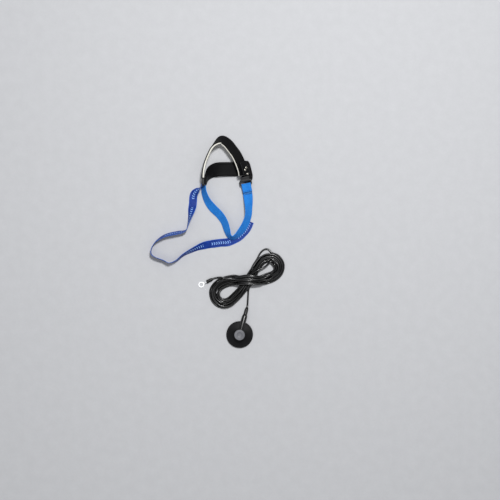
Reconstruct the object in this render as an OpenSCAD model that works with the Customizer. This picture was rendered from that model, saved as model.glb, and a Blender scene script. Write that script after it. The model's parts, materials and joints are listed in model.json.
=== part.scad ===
// Foot grounding strap with its ground cord, laid out flat on a bench.
// The strap is a rubber heel cup, an elastic instep strap and a conductive ribbon.
// The cord is wound in a figure of eight between a snap disc and a ring terminal.

/* [Heel cup] */
// Width of the rubber band that goes round the back of the heel
heel_w = 20; // [16:1:24]
// Thickness of the rubber of the heel band
heel_rubber_t = 1.2; // [1:0.1:2]
// Thickness of the pale lining inside the heel band
lining_t = 2; // [1:0.1:2.5]
// Width of the rubber band that goes under the sole
sole_w = 21; // [18:1:24]
// Thickness of the sole band
sole_t = 2.5; // [2:0.1:3]

/* [Instep strap] */
// Width of the elastic instep strap
strap_w = 14; // [12:1:15]
// Thickness of the elastic
strap_t = 1.2; // [0.8:0.1:1.4]
// Length of the tail that folds back over the ring
tail_len = 11; // [8:1:14]
// Radius of the ring's wire
ring_wire_r = 1; // [0.8:0.1:1.2]

/* [Conductive ribbon] */
// Width of the ribbon
ribbon_w = 12; // [8:1:13]
// Thickness of the ribbon
ribbon_t = 0.8; // [0.5:0.1:1]

/* [Snap disc] */
// Radius of the disc
disc_r = 20; // [18:0.5:21]
// Radius of the socket under the disc, for a 10 mm stud
mat_socket_r = 5; // [4.8:0.1:5.2]
// Radius of the stud on top of the disc
stud_r = 2; // [1.8:0.05:2.05]

/* [Plug] */
// Radius of the plug's round head
plug_r = 7.8; // [7:0.1:8.5]
// Length of the strain relief
relief_len = 36; // [34:1:37]

/* [Ground cord] */
// Diameter of the cord
cord_d = 2.6; // [2.4:0.1:3]
// Radius of the ring terminal's eye, for an M5 screw
eye_r = 2.65; // [2.5:0.05:2.8]
// Outer radius of the ring terminal
terminal_r = 4.5; // [4.2:0.1:4.8]

/* [Hidden] */
$fn = 64;

// A strip's stations are [x, y, lift of its lower edge, roll]. A roll of 0 lies flat
// and 90 stands on edge, with the edge on the left of the route raised.
heel_route = [[63.5, 99, 3, 40], [62, 106, 3, 44], [57.5, 118, 2.8, 47], [52, 129.5, 0.8, 47],
    [45.5, 138.5, 0, 47], [38.5, 147, 0, 47], [30, 152, 0, 51], [22.5, 148.5, 0, 72],
    [15, 140, 0, 88], [9, 128, 0, 90], [4.5, 116, 0, 90], [2, 104, 0, 90], [1.5, 95, 0, 90]];
sole_route = [[4.4, 86, 0, 90], [6, 93, 0, 82], [9.5, 99.5, 0.5, 62], [15, 105, 1.5, 34],
    [23, 108, 2.5, 12], [33, 108.5, 2.5, 3], [46, 108.5, 1.5, 0], [60, 108.5, 0, 0]];
strap_route = [[3.2, 83.3, 1, 62], [4, 73.5, 0.5, 56], [8.5, 61.5, 0, 45], [16, 51, 0, 32],
    [27, 40, 0, 36], [34, 29.5, 0, 42], [38, 18, 1, 48], [41, 9.5, 1.2, 62], [45.5, 6, 1.2, 68],
    [51, 8.5, 1.2, 62], [58, 16, 1.2, 50], [64.5, 26, 1.2, 45], [69, 38.5, 1, 48],
    [69.6, 50, 0.5, 42], [69.3, 62, 0.5, 22], [68.2, 74, 2.4, 0], [66, 84.5, 3, 0]];
strap_fold_at = 8;
bond_gap = 0.1;
ribbon_route = [[0, 86, 1, 90], [-2, 80, 0.5, 80], [-8, 75.5, 0, 40], [-12.5, 69, 0, 10],
    [-14, 54, 0, 8], [-17, 38.5, 0, 55], [-20, 26.5, 0, 78], [-22.5, 18, 0, 84],
    [-28, 14.5, 0, 74], [-36, 13, 0, 66], [-55, 8.5, 0, 70], [-69.5, -1, 0, 84],
    [-75.2, -12, 0, 90], [-73.5, -20.5, 0, 90], [-57, -28, 0, 84], [-48.5, -31.5, 0, 88],
    [-38, -28, 0, 80], [-27.5, -19.5, 0, 74], [-9, -10, 0, 52], [6, -5, 0, 20], [26, -2, 0, 4],
    [40, -0.5, 0, 2], [54, 6, 0, 2], [64, 15, 0, 2], [69, 22.5, 0, 2], [72, 30, 0, 2]];

// A cord's route is a list of points along its middle.
lead_route = [[67.7, -98.7, 2.8], [68.3, -94, 1.9], [68.7, -87, 1.6], [69.1, -80, 1.6],
    [69.5, -74, 1.6], [69.8, -70.5, 1.8]];
loop_route = [[83, -26, 3.4], [85.5, -20, 2.4], [90.5, -13.5, 1.8], [97, -10.5, 1.8],
    [102, -13, 2.2], [104, -17.4, 3]];
tail_route = [[15.7, -56, 2.6], [20, -54.4, 2.1], [26, -53.6, 1.7], [32, -54, 1.7],
    [36, -55.2, 1.7]];

// The fixed places: the ring's front bar, the disc's axis and the terminal's eye
bar_at = [66.2, 85, 5.3];
bar_turn = 12;
ring_half_w = strap_w / 2 + ring_wire_r + 0.4;
ring_depth = 6.5;
bar_clear = 0.1;
fold_r = ring_wire_r + bar_clear + strap_t;
disc_at = [56.5, -139.2, 0];
eye_at = [-1, -64.5, 0];
eye_turn = 27;
barrel_r = cord_d / 2 + 0.1;

// Heights in the disc and the plug
pad_top = 1.6;
seat_z = 6;
plug_z = seat_z + 0.3;
plug_top = 13.2;
cap_top = 14.6;
socket_top = 10.4;
spring_z = 8.8;
relief_turn = 74.6;
relief_drop = 12.2;
relief_start = 7;
relief_z = 11.9;

// The hank's two lobes and the crossing between them
lobe_left = [34, -78];
lobe_left_r = 23;
lobe_right = [101, -39.5];
lobe_right_r = 22.5;
lobe_h = 8;
cross_at = [71.4, -56.6];
cross_r = 8;
cross_h = 14;

// A point of the smooth curve between b and c, whose neighbours are a and d
function curve_point(a, b, c, d, t) =
    0.5 * (2 * b + (c - a) * t + (2 * a - 5 * b + 4 * c - d) * t * t
        + (3 * b - a - 3 * c + d) * t * t * t);

// The whole smooth curve through a route, with so many steps between stations
function smooth(route, steps) = let (last = len(route) - 1) [
    for (i = [0:last - 1], j = [0:steps - 1])
        curve_point(route[max(i - 1, 0)], route[i], route[i + 1], route[min(i + 2, last)], j / steps),
    route[last]];

// The level heading of a path at its point i
function heading(path, i) =
    let (a = path[max(i - 1, 0)], b = path[min(i + 1, len(path) - 1)], d = [b.x - a.x, b.y - a.y, 0])
    d / norm(d);

// One corner of a strip: across its width by u, and out of its face by v
function strip_corner(path, i, width, u, v) =
    let (s = path[i], d = heading(path, i), left = [-d.y, d.x, 0], up = [0, 0, 1],
        roll = min(max(s[3], 0), 90), lift = max(s.z, 0),
        across = cos(roll) * left + sin(roll) * up, out = cos(roll) * up - sin(roll) * left)
    [s.x, s.y, lift + width / 2 * sin(roll)] + u * across + v * out;

// The faces of a closed skin over rings of points, each with so many corners
function skin_faces(rings, corners) = concat(
    [[for (k = [corners - 1:-1:0]) k]],
    [for (i = [0:rings - 2], k = [0:corners - 1], half = [0, 1])
        let (a = i * corners + k, b = i * corners + (k + 1) % corners)
        half == 0 ? [a, b + corners, a + corners] : [a, b, b + corners]],
    [[for (k = [0:corners - 1]) (rings - 1) * corners + k]]);

// A flat strip along a route, between edges u0 and u1 and between faces v0 and v1,
// from one of the route's stations to another
module strip(route, width, u0, u1, v0, v1, from = 0, to = undef) {
    steps = 4;
    path = smooth(route, steps);
    first = from * steps;
    last = is_undef(to) ? len(path) - 1 : to * steps;
    points = [for (i = [first:last], c = [[u0, v0], [u0, v1], [u1, v1], [u1, v0]])
        strip_corner(path, i, width, c[0], c[1])];
    polyhedron(points, skin_faces(last - first + 1, 4), convexity = 8);
}

// A full-width strip of one thickness
module band(route, width, thick, from = 0, to = undef) {
    strip(route, width, -width / 2, width / 2, 0, thick, from, to);
}

// A round tube along a route
module tube(route, r, steps = 1, sides = 8) {
    path = smooth(route, steps);
    last = len(path) - 1;
    points = [for (i = [0:last])
        let (d = path[min(i + 1, last)] - path[max(i - 1, 0)],
            across = [-d.y, d.x, 0] / norm([d.x, d.y]), up = cross(d, across) / norm(d))
        for (k = [0:sides - 1])
            path[i] - r * cos(360 * k / sides) * across + r * sin(360 * k / sides) * up];
    polyhedron(points, skin_faces(last + 1, sides), convexity = 8);
}

// A cylinder along X, centred
module cross_bar(r, length) {
    rotate([0, 90, 0]) cylinder(r = r, h = length, center = true);
}

// A ring of round wire, lying flat
module wire_ring(mean_r, wire_r) {
    rotate_extrude() translate([mean_r, 0]) circle(r = wire_r, $fn = 24);
}

// A rounded plate in the plan, standing on z = 0
module plate(w, d, h, corner) {
    linear_extrude(h) {
        square([w - 2 * corner, d], center = true);
        square([w, d - 2 * corner], center = true);
        for (x = [-1, 1], y = [-1, 1])
            translate([x * (w / 2 - corner), y * (d / 2 - corner)]) circle(r = corner, $fn = 32);
    }
}

// Places a child at the ring's front bar, with the strap running towards -Y
module at_bar() {
    translate(bar_at) rotate(bar_turn) children();
}

// Places a child on the disc's axis
module at_disc() {
    translate(disc_at) children();
}

// Places a child along the strain relief's axis, which becomes +Z
module at_relief() {
    translate(disc_at + [0, 0, relief_z]) rotate([0, 90 + relief_drop, relief_turn])
        translate([0, 0, relief_start]) children();
}

// Places a child at the terminal's eye, with the cord leaving towards +X
module at_eye() {
    translate(eye_at) rotate(eye_turn) children();
}

// ---- Strap ----

module heel_band() {
    color("#111111") band(heel_route, heel_w, heel_rubber_t);
}

module heel_lining() {
    color("#EDEBE2") strip(heel_route, heel_w, -heel_w / 2 + 2.5, heel_w / 2,
        -lining_t, -bond_gap);
}

module sole_band() {
    color("#0E0E0F") band(sole_route, sole_w, sole_t);
}

module side_tab_right() {
    color("#101011") linear_extrude(sole_t) polygon([[60, 98], [60, 119], [62, 121], [68, 121],
        [70.5, 119], [72.5, 114.5], [75.6, 102], [76, 98], [75.6, 94], [73, 89.5], [70, 88.5],
        [63, 88.5], [60.6, 90]]);
}

// The patch over the end of the heel band
module anchor_patch() {
    color("#131313") strip(heel_route, heel_w, -heel_w / 2, heel_w / 2 - 5,
        heel_rubber_t + bond_gap, heel_rubber_t + 1.8, 0, 2);
}

// Three rivets with domed heads, square to the leaning patch
module anchor_rivets() {
    path = smooth(heel_route, 4);
    color("#B9B7AE") for (k = [[1, -4.5], [4, -1], [5, -5]]) {
        foot = strip_corner(path, k[0], heel_w, k[1], heel_rubber_t + 1.3);
        out = strip_corner(path, k[0], heel_w, k[1], heel_rubber_t + 2.3) - foot;
        translate(foot) rotate([acos(out.z), 0, atan2(out.y, out.x) + 90]) {
            cylinder(r = 0.8, h = 1);
            translate([0, 0, 0.5]) cylinder(r1 = 1.7, r2 = 1.3, h = 0.8, $fn = 32);
        }
    }
}

// The webbing loop that holds the ring's back bar on the side tab
module anchor_loop() {
    loop_r = 2.4;
    color("#0C0C0D") at_bar() translate([0, ring_depth, 0]) difference() {
        union() {
            cross_bar(loop_r, strap_w - 1);
            translate([-(strap_w - 1) / 2, 0, -loop_r]) cube([strap_w - 1, 6, 1.4]);
        }
        cross_bar(ring_wire_r + bar_clear, strap_w);
    }
}

module strap_ring() {
    color("#1B1B1D") at_bar() {
        for (y = [0, ring_depth]) translate([0, y, 0]) cross_bar(ring_wire_r, 2 * ring_half_w);
        for (x = [-1, 1]) translate([x * ring_half_w, 0, 0]) {
            rotate([-90, 0, 0]) cylinder(r = ring_wire_r, h = ring_depth);
            for (y = [0, ring_depth]) translate([0, y, 0]) sphere(r = ring_wire_r);
        }
    }
}

// The elastic where it turns round the front bar, as far as the tail's hollowed end
module strap_fold() {
    color("#55B0FF") at_bar() difference() {
        cross_bar(fold_r, strap_w);
        cross_bar(fold_r - strap_t, strap_w + 1);
        translate([-strap_w, -5, -5]) cube([2 * strap_w, 5, 5.3]);
    }
}

// The free end of the elastic, lying over the strap, with an end that turns on the fold
module strap_tail() {
    color("#2E96EE") at_bar() difference() {
        translate([-strap_w / 2, -tail_len, fold_r - strap_t]) cube([strap_w, tail_len, strap_t]);
        cross_bar(fold_r + bar_clear, strap_w + 1);
    }
}

// The hook side of the fastener, under the tail
module hook_patch() {
    color("#0F3F78") at_bar() translate([-strap_w / 2 + 1, -tail_len + 0.5, fold_r - strap_t - 0.9])
        cube([strap_w - 2, tail_len - 3, 0.9]);
}

// The loop side of the fastener, on the strap under the tail
module loop_patch() {
    color("#155CA8") at_bar()
        translate([-strap_w / 2 + 1, -tail_len - 3, -ring_wire_r - bar_clear])
            cube([strap_w - 2, tail_len + 1, 0.8]);
}

module instep_strap_right() {
    color("#1E88DC") band(strap_route, strap_w, strap_t, strap_fold_at);
}

module instep_strap_left() {
    color("#1E88DC") band(strap_route, strap_w, strap_t, 0, strap_fold_at);
}

// The moulded tab at the left side, with a hollow for the ribbon's resistor
module side_tab_left() {
    color("#141415") difference() {
        translate([0.3, 89.15, 9.5]) rotate([90, 0, 90]) plate(11.3, 15, 4, 2);
        translate([2.3, 87, 6]) cylinder(r = 1.25, h = 7);
    }
}

// The rivet through the left tab and the end of the sole band
module tab_rivet() {
    color("#B9B7AE") translate([0, 91.5, 12]) rotate([0, 90, 0]) {
        translate([0, 0, -0.5]) cylinder(r = 2, h = 0.8);
        cylinder(r = 1, h = 7.5);
    }
}

// The one megohm resistor inside the left tab
module ribbon_resistor() {
    color("#C9A66B") translate([2.3, 87, 6.3]) cylinder(r = 1.15, h = 6.4);
}

module ribbon() {
    color("#0A2F8C") band(ribbon_route, ribbon_w, ribbon_t);
}

// ---- Snap disc ----

module disc_pad() {
    color("#1A1B1E") at_disc() difference() {
        cylinder(r = disc_r - 0.5, h = pad_top);
        translate([0, 0, -1]) cylinder(r = mat_socket_r + 2.2, h = pad_top + 2);
    }
}

module disc_cover() {
    color("#15161A") at_disc() difference() {
        rotate_extrude() polygon([[0, pad_top], [disc_r, pad_top],
            for (a = [0:15:90]) [disc_r - 1 + cos(a), 2 + sin(a)],
            [13, 4.3], [8.6, seat_z], [0, seat_z]]);
        translate([0, 0, pad_top - 1]) cylinder(r = mat_socket_r + 2, h = 4.5 - pad_top + 1);
        cylinder(r = 1.3, h = seat_z + 1);
    }
}

// The pressed socket that snaps over a stud set in a mat or a bench
module mat_socket() {
    color("#C9CACC") at_disc() difference() {
        translate([0, 0, 0.4]) cylinder(r = mat_socket_r + 1.9, h = 4);
        cylinder(r = mat_socket_r, h = 3.6);
        translate([0, 0, 1.6]) cylinder(r = mat_socket_r + 0.9, h = 1);
        translate([0, 0, 3.5]) cylinder(r = 2.4, h = 0.5);
        cylinder(r = 1.3, h = 5);
    }
}

module mat_spring() {
    color("#D8D8DA") at_disc() translate([0, 0, 2.1]) wire_ring(mat_socket_r + 0.5, 0.3);
}

// The stud on the disc's seat, with its rivet foot inside the socket
module disc_stud() {
    color("#D2D3D6") at_disc() {
        translate([0, 0, 3.6]) cylinder(r = 2.2, h = 0.4);
        translate([0, 0, 3.8]) cylinder(r = 1.25, h = seat_z - 3.8);
        translate([0, 0, seat_z]) cylinder(r = 4.5, h = 0.6);
        translate([0, 0, seat_z]) cylinder(r = stud_r - 0.2, h = 2.4);
        translate([0, 0, seat_z + 2]) cylinder(r = stud_r, h = 1.6);
    }
}

// ---- Plug ----

// The wire spring that grips the stud inside the plug's socket
module snap_spring() {
    color("#D8D8DA") at_disc() translate([0, 0, spring_z]) wire_ring(stud_r + 0.4, 0.3);
}

module plug_housing() {
    color("#17181B") at_disc() difference() {
        translate([0, 0, plug_z]) cylinder(r = plug_r, h = plug_top - plug_z);
        translate([0, 0, plug_z - 1]) cylinder(r = 5.5, h = 1.6);
        translate([0, 0, plug_z]) cylinder(r = 4.3, h = socket_top - plug_z + 0.1);
    }
}

module plug_socket() {
    color("#C9CACC") at_disc() difference() {
        translate([0, 0, plug_z + 0.6]) cylinder(r = 4.2, h = socket_top - plug_z - 0.6);
        cylinder(r = stud_r + 0.3, h = socket_top - 0.4);
        translate([0, 0, spring_z - 0.4]) cylinder(r = stud_r + 1.1, h = 0.8);
    }
}

// The pale cap on the plug's head, dished in the middle
module plug_cap() {
    color("#6A6B70") at_disc() rotate_extrude() polygon([[0, plug_top], [plug_r, plug_top],
        [plug_r, cap_top - 0.6], [plug_r - 0.6, cap_top], [4.2, cap_top], [3.4, cap_top - 0.7],
        [0, cap_top - 0.7]]);
}

// The one megohm resistor in the root of the strain relief
module plug_resistor() {
    color("#C9A66B") at_relief() translate([0, 0, 5.2]) cylinder(r = 1.15, h = 6.6);
}

module strain_relief() {
    color("#1C1D20") difference() {
        at_relief() difference() {
            rotate_extrude() polygon([[0, 0], [3.6, 0], [4.1, 12], [3.9, 22], [3.1, 25],
                [3.1, 27], [2.6, 28], [3, 29], [3, 31], [2, relief_len], [0, relief_len]]);
            translate([0, 0, 5]) cylinder(r = 1.25, h = 7);
        }
        at_disc() cylinder(r = plug_r, h = 30);
    }
}

// ---- Ground cord ----

module cord_lead() {
    color("#0D0D0E") tube(lead_route, cord_d / 2, 2);
}

// The outer shape of the whole winding
module cord_hank() {
    color("#0B0B0C") {
        linear_extrude(lobe_h) {
            hull() {
                translate(lobe_left) circle(r = lobe_left_r);
                translate(cross_at) circle(r = cross_r);
            }
            hull() {
                translate(lobe_right) circle(r = lobe_right_r);
                translate(cross_at) circle(r = cross_r);
            }
        }
        translate(cross_at) cylinder(r = cross_r, h = cross_h);
    }
}

module cord_loop() {
    color("#0D0D0E") tube(loop_route, cord_d / 2, 2);
}

module cord_tail() {
    color("#0D0D0E") tube(tail_route, cord_d / 2, 2);
}

module terminal_sleeve() {
    color("#0A0A0A") at_eye() translate([9, 0, 2.6]) rotate([0, 90, 0]) difference() {
        cylinder(r = 2.5, h = 9.6);
        translate([0, 0, -1]) cylinder(r = barrel_r + 0.1, h = 4);
    }
}

// The flat eye and its crimped barrel
module ring_terminal() {
    color("#D9DADC") at_eye() {
        difference() {
            union() {
                cylinder(r = terminal_r, h = 0.9);
                translate([2, -2, 0]) cube([5, 4, 0.9]);
            }
            translate([0, 0, -1]) cylinder(r = eye_r, h = 3);
        }
        translate([6, 0, 2.6]) rotate([0, 90, 0]) cylinder(r = barrel_r, h = 6);
        translate([5.5, -1.4, 0.5]) cube([1.5, 2.8, 2.2]);
    }
}

heel_band();
heel_lining();
sole_band();
side_tab_right();
anchor_patch();
anchor_rivets();
anchor_loop();
strap_ring();
strap_fold();
strap_tail();
hook_patch();
loop_patch();
instep_strap_right();
instep_strap_left();
side_tab_left();
tab_rivet();
ribbon_resistor();
ribbon();
disc_pad();
disc_cover();
mat_socket();
mat_spring();
disc_stud();
snap_spring();
plug_housing();
plug_socket();
plug_cap();
plug_resistor();
strain_relief();
cord_lead();
cord_hank();
cord_loop();
cord_tail();
terminal_sleeve();
ring_terminal();
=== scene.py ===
# %% [markdown]
# # A foot grounding strap and its ground cord
#
# The object is two things that are used together. One is a strap that goes round a shoe: a
# rubber heel cup, a blue elastic that crosses the instep, and a dark ribbon that is tucked
# into the shoe and touches the foot. The other is a black cord that runs from a snap disc
# on the mat to a ring terminal on the ground point, and lies here wound in a figure of eight.
#
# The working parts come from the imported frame. Everything soft, and every part whose look
# needs more than its working shape, is made here around that frame.

import json
import math

import bpy
import numpy as np
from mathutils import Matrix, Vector


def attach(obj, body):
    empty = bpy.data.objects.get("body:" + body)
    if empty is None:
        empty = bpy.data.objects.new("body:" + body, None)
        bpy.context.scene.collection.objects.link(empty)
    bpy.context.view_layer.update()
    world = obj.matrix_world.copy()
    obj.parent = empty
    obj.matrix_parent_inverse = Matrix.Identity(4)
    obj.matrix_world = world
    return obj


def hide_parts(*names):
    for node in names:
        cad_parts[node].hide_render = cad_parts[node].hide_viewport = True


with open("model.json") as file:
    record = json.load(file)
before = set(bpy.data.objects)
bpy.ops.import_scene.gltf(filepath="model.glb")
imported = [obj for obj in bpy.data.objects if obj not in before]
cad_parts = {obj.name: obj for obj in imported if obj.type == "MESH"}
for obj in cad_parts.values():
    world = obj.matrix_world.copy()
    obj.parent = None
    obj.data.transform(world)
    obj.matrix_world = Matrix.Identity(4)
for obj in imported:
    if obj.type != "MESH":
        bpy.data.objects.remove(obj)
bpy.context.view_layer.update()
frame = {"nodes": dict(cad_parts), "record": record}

# %% [markdown]
# ## The camera
#
# The strap is laid out flat and seen from straight above, so the camera looks down the
# vertical with the top of its picture towards +Y. It stands high with a long lens, which
# keeps the tall pieces from leaning outwards. What it looks at is a point between the two
# halves of the object, a little below the middle.

# %% Camera
MM = 0.001
VIEW_MIDDLE = np.array([72.0, -12.6]) * MM
VIEW_WIDTH = 750 * MM
LENS, SENSOR = 85.0, 36.0


def new_object(name, data):
    """An object for the data, at the origin and in the scene."""
    thing = bpy.data.objects.new(name, data)
    bpy.context.scene.collection.objects.link(thing)
    return thing


camera_data = bpy.data.cameras.new("camera")
camera_data.lens = LENS
camera_data.sensor_width = SENSOR
camera = new_object("camera", camera_data)
camera.location = (*VIEW_MIDDLE, VIEW_WIDTH * LENS / SENSOR)
bpy.context.scene.camera = camera
print("the camera stands", round(camera.location.z, 3), "m above the floor")

# %% [markdown]
# ## Smooth lines
#
# A strip or a cord is described by a few stations along its length. A
# curve through them has to pass each station and turn smoothly, which a Catmull-Rom curve
# does. The same curve drew the working parts, so the pieces made here lie where they do.

# %% A smooth line through stations
def smooth_line(stations, steps, closed=False):
    """Catmull-Rom: between b and c, with neighbours a and d, the point at t is
    half of 2b + (c - a)t + (2a - 5b + 4c - d)t^2 + (3b - a - 3c + d)t^3."""
    s = np.asarray(stations, float)
    padded = np.vstack([s[-1], s, s[:2]]) if closed else np.vstack([s[0], s, s[-1]])
    a, b, c, d = (padded[i:len(padded) - 3 + i, None] for i in range(4))
    t = (np.arange(steps) / steps)[None, :, None]
    points = 0.5 * (2 * b + (c - a) * t + (2 * a - 5 * b + 4 * c - d) * t ** 2
                    + (3 * b - a - 3 * c + d) * t ** 3)
    points = points.reshape(-1, s.shape[1])
    return points if closed else np.vstack([points, s[-1]])


def run_length(points):
    """The length along a line up to each of its points: the running sum of its steps."""
    steps = np.linalg.norm(np.diff(points, axis=0), axis=1)
    return np.concatenate([[0.0], np.cumsum(steps)])


def unit(vectors):
    """Each vector divided by its own length."""
    return vectors / np.linalg.norm(vectors, axis=-1, keepdims=True)


def read_along(wanted, along, values):
    """Each column of values, known at the lengths along, read off at the wanted lengths."""
    return np.stack([np.interp(wanted, along, column) for column in values.T], axis=-1)


def even_line(points, spacing):
    """The same line with points an even distance apart, read off against its length."""
    along = run_length(points)
    wanted = np.linspace(0, along[-1], int(round(along[-1] / spacing)) + 1)
    return read_along(wanted, along, points)


def blur_line(values, sigma):
    """Each column averaged along the line with a bell-shaped weight of that many points."""
    reach = int(3 * sigma)
    bell = np.exp(-0.5 * (np.arange(-reach, reach + 1) / sigma) ** 2)
    padded = np.pad(values, [(reach, reach), (0, 0)], mode="edge")
    return np.stack([np.convolve(c, bell / bell.sum(), "valid") for c in padded.T], axis=1)


# %% [markdown]
# ## The ground cord's route
#
# The cord is a little over three metres of limp 2.6 mm cable. It leaves the strain relief,
# runs to the waist of the figure of eight, goes round both lobes eleven and a half times,
# and leaves along the top of the left lobe to its ring terminal.
#
# A hank like this is a plain coil with one twist in it. So a strand that lies on the outside
# of one lobe lies on the inside of the other, and at the waist all the strands of one bundle
# pass over all those of the other. A spiral about one closed middle line gives both for
# nothing: a strand only needs a sideways place and a height, which change slowly from turn
# to turn.

# %% The middle line of the hank
CORD_D = 2.6 * MM
LEAD_ROUTE = np.array([[67.7, -98.7, 2.8], [68.3, -94, 1.9], [68.7, -87, 1.6], [69.1, -80, 1.6],
                       [69.5, -74, 1.6], [69.8, -70.5, 1.8]]) * MM
LOOP_ROUTE = np.array([[83, -26, 3.4], [85.5, -20, 2.4], [90.5, -13.5, 1.8], [97, -10.5, 1.8],
                       [102, -13, 2.2], [104, -17.4, 3]]) * MM
TAIL_ROUTE = np.array([[15.7, -56, 2.6], [20, -54.4, 2.1], [26, -53.6, 1.7], [32, -54, 1.7],
                       [36, -55.2, 1.7]]) * MM
RIGHT_LOBE = [[71.4, -56.6], [79, -42.5], [85, -32.5], [93.5, -24.8], [104.5, -23], [114, -30],
              [116, -40.5], [109.5, -50], [97.5, -55], [85, -58]]
LEFT_LOBE = [[71.4, -56.6], [56, -57.5], [42, -59], [30, -63], [20.5, -70.5], [19, -81.5],
             [27, -92.5], [39, -93], [51.5, -83.5], [62.5, -70]]
TURN_POINTS = 200
WAIST_SEARCH = 40

middle = smooth_line(np.array(RIGHT_LOBE + LEFT_LOBE) * MM, 20, closed=True)
middle = even_line(np.vstack([middle, middle[:1]]), run_length(middle)[-1] / TURN_POINTS)[:-1]
forward = unit(np.roll(middle, -1, axis=0) - np.roll(middle, 1, axis=0))
to_left = np.stack([-forward[:, 1], forward[:, 0]], axis=1)
# the first point is the waist, and the line passes it again about half way round
half_way = len(middle) // 2
second_pass = half_way - WAIST_SEARCH + np.argmin(np.linalg.norm(
    middle[half_way - WAIST_SEARCH:half_way + WAIST_SEARCH] - middle[0], axis=1))
print("one turn is", round(run_length(middle)[-1] / MM), "mm")

# %% [markdown]
# Each turn has its own place in the pile. Round the lobes the twelve strands lie six side
# by side on the bench, four nested on top of them and two on top of those. At the waist
# they are squeezed to four across and three high. A slow, seeded wander keeps them from
# lying like wire on a bobbin.
#
# One outer turn has slipped out of the right lobe and follows its own route, and three
# late strands stray across the inside of a lobe.

# %% Each turn's place in the pile
TURNS = 11.5
PILE = np.array([6, 4, 2])
WAIST_ROWS = 3
PITCH = 2.9 * MM
RISE = 2.3 * MM

turn_number = np.arange(PILE.sum())
layer = np.repeat(np.arange(len(PILE)), PILE)
in_layer = turn_number - np.repeat(np.cumsum(PILE) - PILE, PILE)
lobe_place = (in_layer - (PILE[layer] - 1) / 2) * (-1.0) ** layer * PITCH
lobe_height = layer * RISE
waist_column = np.argsort(np.argsort(lobe_place)) // WAIST_ROWS
waist_row = np.empty(len(turn_number))
waist_row[np.lexsort((turn_number, waist_column))] = turn_number % WAIST_ROWS
# four columns about their middle, a fifth wider than the pitch, with each row moved by a
# quarter of a column so that the strands nest
waist_place = (waist_column - 1.5 + 0.25 * (-1) ** waist_row) * 1.2 * PITCH
waist_height = waist_row * RISE
print("strands across a lobe:", PILE[0], "- across the waist:", waist_column.max() + 1)

# %% The cord's turns
SLIPPED_TURN = 5
WANDER, WANDER_EVERY = 0.9 * MM, 26
# strands that have strayed, each with its place in turns, how long it strays and how far
STRAYS = [(11.13, 0.07, 11 * MM), (9.225, 0.06, 6 * MM), (10.27, 0.05, 5 * MM)]
WAIST_REACH = 19 * MM
# the part of a turn in which a strand moves over to the next turn's place
CHANGE_FROM, CHANGE_OVER = 0.62, 0.3
rng = np.random.default_rng(11)


def wander(count, every, amount):
    """A slow random line: random values that many points apart, joined and blurred."""
    marks = np.arange(0, count + every, every)
    values = rng.normal(0, amount, len(marks))
    return blur_line(np.interp(np.arange(count), marks, values)[:, None], every / 3)[:, 0]


def cord_turns():
    """The wound part, and how many turns lie behind each of its points: middle line + place
    x left + height. Both are read from the pile, and change to the next turn's while the
    strand goes round the left lobe. Near the waist, by a bell-shaped weight, they are the
    waist's, and the second pass is raised over the first. Higher layers lie looser, and
    the places are drawn in to 0.92 round the right lobe and out to 1.04 round the left."""
    count = int(TURNS * len(middle))
    behind = np.arange(count) / len(middle)
    part = np.clip((behind % 1 - CHANGE_FROM) / CHANGE_OVER, 0, 1)
    now = np.floor(behind) + part ** 2 * (3 - 2 * part)
    where = np.arange(count) % len(middle)
    spacing = run_length(middle)[-1] / len(middle)
    from_first = np.minimum(where, len(middle) - where) * spacing
    from_second = np.abs(where - second_pass) * spacing
    near = np.exp(-(np.minimum(from_first, from_second) / WAIST_REACH) ** 4)
    over = WAIST_ROWS * RISE * np.exp(-(from_second / WAIST_REACH) ** 4)
    left_lobe = np.clip(-np.sin(2 * np.pi * behind), 0, 1)
    loose = 1 + 0.8 * np.interp(now, turn_number, layer)
    side = np.interp(now, turn_number, lobe_place) * (0.92 + 0.12 * left_lobe)
    side += wander(count, WANDER_EVERY, WANDER) * loose
    side = side * (1 - near) + np.interp(now, turn_number, waist_place) * near
    for at, span, inward in STRAYS:
        side -= inward * np.exp(-((behind - at) / span) ** 2)
    height = CORD_D / 2 + over + np.interp(now, turn_number, lobe_height) * (1 - near)
    height += np.interp(now, turn_number, waist_height) * near
    return behind, np.column_stack([middle[where] + side[:, None] * to_left[where], height])


turns_behind, wound = cord_turns()


def nearest(point, low, high):
    """The point of the wound part, between two counts of turns, that is nearest to a point."""
    far = np.linalg.norm(wound[:, :2] - point[:2], axis=1)
    return np.argmin(np.where((turns_behind > low) & (turns_behind < high), far, np.inf))


CORD_STEP = 1.5 * MM
STATION_EVERY, HELD = 8, 4
slips = nearest(LOOP_ROUTE[0], SLIPPED_TURN, SLIPPED_TURN + 0.25)
returns = nearest(LOOP_ROUTE[-1], SLIPPED_TURN + 0.1, SLIPPED_TURN + 0.4)
# a few points are left out on both sides of each join, so that the curve can round it
stations = np.vstack([LEAD_ROUTE, wound[10:slips - 6:STATION_EVERY], LOOP_ROUTE,
                      wound[returns + 6:-16:STATION_EVERY], TAIL_ROUTE[::-1]])
cord_line = even_line(smooth_line(stations, 8), CORD_STEP)
cord_line = np.vstack([cord_line[:HELD], blur_line(cord_line, 2.0)[HELD:-HELD],
                       cord_line[-HELD:]])
print("turn", turns_behind[slips], "slips out and is back at", turns_behind[returns])
print("the cord's route is", round(run_length(cord_line)[-1], 3), "m long")

# %% [markdown]
# ## Letting the cord settle
#
# The spiral is only roughly a heap of cord: some strands float and some run through each
# other. A cord settles because it has weight, can't pass through itself or the bench,
# doesn't stretch and doesn't bend sharply. Each of those is one small correction of all
# the points at once, and a few hundred rounds of them bring the whole hank to rest.

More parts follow.
